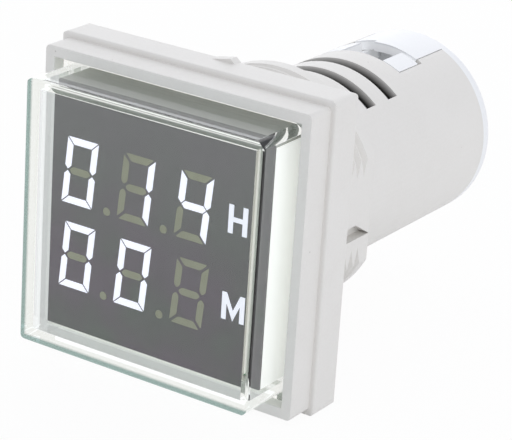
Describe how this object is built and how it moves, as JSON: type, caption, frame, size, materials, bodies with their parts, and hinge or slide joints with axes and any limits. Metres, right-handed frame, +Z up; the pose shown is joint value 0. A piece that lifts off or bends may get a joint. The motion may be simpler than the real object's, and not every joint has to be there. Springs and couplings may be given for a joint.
{
  "type": "hour meter",
  "caption": "Panel-mount hour meter: square clear lens over a lit digit display, threaded collar for a round hole, and a vented barrel that ends in rear screw terminals.",
  "frame": {"origin": "on the barrel's axis at the rear face of the flange, where it meets the panel", "axes": "+Y along the barrel to the rear, +Z up as the digits read, +X to the right seen from the front"},
  "size_m": [0.028, 0.0444, 0.0284],
  "materials": {
    "grey_moulding": "light grey, finely grained moulding",
    "clear_lens": "clear gloss plastic with a faint cool tint at its edges",
    "dark_film": "dark face film with a gloss",
    "lit_white": "lit diffuser, cool white",
    "unlit_olive": "unlit diffuser, dull olive",
    "white_plastic": "white, satin",
    "tinned_metal": "tin plated",
    "circuit_board": "green solder mask",
    "black_epoxy": "black epoxy",
    "yellow_film_box": "yellow box",
    "blue_sleeve": "blue sleeve",
    "tan_coating": "tan coating",
    "brass": "plain",
    "plated_steel": "zinc plated"
  },
  "bodies": {
    "meter": {"body": "grey_moulding", "front_frame": "grey_moulding", "lens": "clear_lens", "face_film": "dark_film", "lit_segments": "lit_white", "unlit_segments": "unlit_olive", "display_case": "white_plastic", "display_pins": "tinned_metal", "display_board": "circuit_board", "driver_chip": "black_epoxy", "main_board": "circuit_board", "board_link": "black_epoxy", "controller_chip": "black_epoxy", "memory_chip": "black_epoxy", "clock_crystal": "tinned_metal", "film_capacitor": "yellow_film_box", "smoothing_capacitor": "blue_sleeve", "bridge_rectifier": "black_epoxy", "surge_resistor": "tan_coating", "varistor": "blue_sleeve", "regulator": "black_epoxy", "terminal_cap": "white_plastic", "terminal_plate_1": "brass", "terminal_plate_2": "brass"},
    "left_clamp": {"clamp_1": "tinned_metal"},
    "left_screw": {"screw_1": "plated_steel"},
    "right_clamp": {"clamp_2": "tinned_metal"},
    "right_screw": {"screw_2": "plated_steel"}
  },
  "joints": [
    {"name": "left_clamp_lift", "type": "slide", "parent": "meter", "child": "left_clamp", "axis": [0, 1, 0], "range_m": [0, 0.002]},
    {"name": "left_screw_turn", "type": "hinge", "parent": "left_clamp", "child": "left_screw", "pos_m": [-0.00375, 0.0306, 0], "axis": [0, 1, 0], "range_deg": [0, 1440]},
    {"name": "right_clamp_lift", "type": "slide", "parent": "meter", "child": "right_clamp", "axis": [0, 1, 0], "range_m": [0, 0.002]},
    {"name": "right_screw_turn", "type": "hinge", "parent": "right_clamp", "child": "right_screw", "pos_m": [0.00375, 0.0306, 0], "axis": [0, 1, 0], "range_deg": [0, 1440]}
  ],
  "couplings": [
    {"joint": "left_screw_turn", "follows": "left_clamp_lift", "rad_per_m": 12566},
    {"joint": "right_screw_turn", "follows": "right_clamp_lift", "rad_per_m": 12566}
  ]
}
